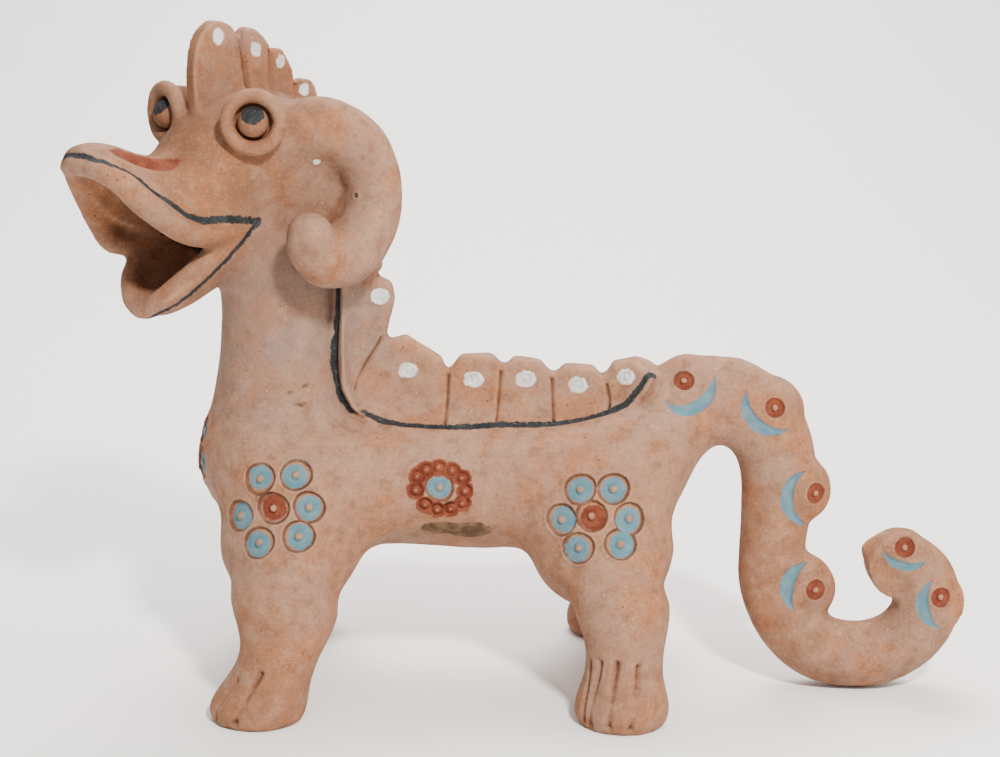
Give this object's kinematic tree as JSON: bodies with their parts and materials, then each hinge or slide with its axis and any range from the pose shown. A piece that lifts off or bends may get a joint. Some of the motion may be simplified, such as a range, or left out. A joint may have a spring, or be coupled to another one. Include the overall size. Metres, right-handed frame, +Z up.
{
  "type": "clay dragon figure",
  "caption": "Free-standing hand-modelled clay beast with duck-like bill, curled horns, cut crests, stamped flanks and a scalloped, hooked tail, for a shelf or table.",
  "frame": {"origin": "on the ground, under the middle of the figure's overall box", "axes": "+Z up; the beast faces -X with its tail at +X; its left flank is on -Y"},
  "size_m": [0.1833, 0.0736, 0.1375],
  "materials": {
    "trunk_clay": "unglazed fired clay with cold-painted stamped rings",
    "neck_clay": "unglazed fired clay, slightly greyer",
    "leg_clay": "unglazed fired clay",
    "head_clay": "unglazed fired clay",
    "bill_clay": "unglazed fired clay with a dark painted lip line",
    "eye_clay": "unglazed fired clay with dark pupils",
    "horn_clay": "unglazed fired clay, smoothed",
    "crest_clay": "unglazed fired clay with white dabs and a dark painted foot line",
    "tail_clay": "unglazed fired clay with painted dots and crescents"
  },
  "bodies": {
    "root": {"trunk": "trunk_clay", "neck": "neck_clay", "foreleg_left": "leg_clay", "foreleg_right": "leg_clay", "hindleg_left": "leg_clay", "hindleg_right": "leg_clay", "skull": "head_clay", "upper_bill": "bill_clay", "lower_jaw": "bill_clay", "eye_ring_left": "eye_clay", "eye_ring_right": "eye_clay", "eyeball_left": "eye_clay", "eyeball_right": "eye_clay", "horn_left": "horn_clay", "horn_right": "horn_clay", "head_crest": "crest_clay", "back_crest": "crest_clay", "tail": "tail_clay"}
  },
  "joints": []
}
